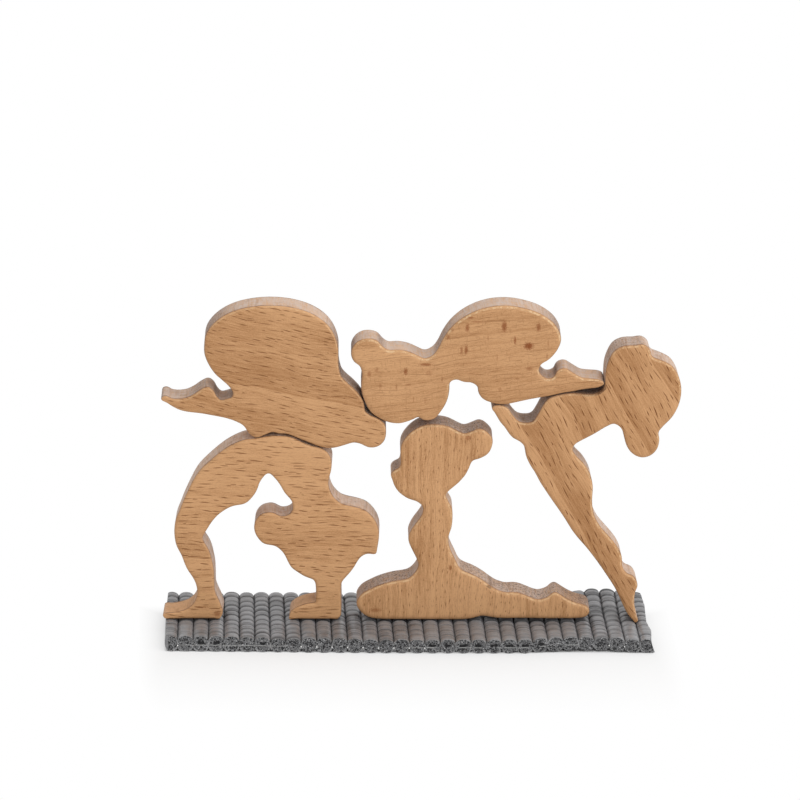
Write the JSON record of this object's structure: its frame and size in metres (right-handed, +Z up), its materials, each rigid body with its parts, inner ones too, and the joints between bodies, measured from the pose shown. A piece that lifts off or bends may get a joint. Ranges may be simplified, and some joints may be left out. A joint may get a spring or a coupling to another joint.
{
  "type": "stacking balance game",
  "caption": "Flat wooden gymnast-like figures with rounded edges stacked on each other on a ribbed foam mat; each figure lifts off or slides along the mat's grooves.",
  "frame": {"origin": "on the table, at the middle of the flat underside of the cord just beside the middle of the mat", "axes": "+X across the cords, to the right as the figures' fronts are seen, the object's length; +Y along the cords, away from the viewer; +Z up"},
  "size_m": [0.2017, 0.06, 0.1333],
  "materials": {
    "foam": "dark grey closed-cell foam, matt skin, open cells at the cut edges",
    "net": "pale polyester scrim",
    "beech": "fine-sanded, very lightly oiled beech"
  },
  "bodies": {
    "mat": {"mat_foam": "foam", "mat_net": "net"},
    "bridge": {"bridge_figure": "beech"},
    "curled": {"curled_figure": "beech"},
    "resting": {"resting_figure": "beech"},
    "seated": {"seated_figure": "beech"},
    "toe_stand": {"toe_stand_figure": "beech"}
  },
  "joints": [
    {"name": "bridge_slide", "type": "slide", "parent": "mat", "child": "bridge", "axis": [0, 1, 0], "range_m": [-0.0225, 0.0225]},
    {"name": "seated_slide", "type": "slide", "parent": "mat", "child": "seated", "axis": [0, 1, 0], "range_m": [-0.0225, 0.0225]},
    {"name": "toe_stand_slide", "type": "slide", "parent": "mat", "child": "toe_stand", "axis": [0, 1, 0], "range_m": [-0.0225, 0.0225]},
    {"name": "curled_lift", "type": "slide", "parent": "bridge", "child": "curled", "axis": [-0.866, 0, 0.5], "range_m": [0, 0.12]},
    {"name": "resting_lift", "type": "slide", "parent": "toe_stand", "child": "resting", "axis": [0, 0, 1], "range_m": [0, 0.06]}
  ]
}
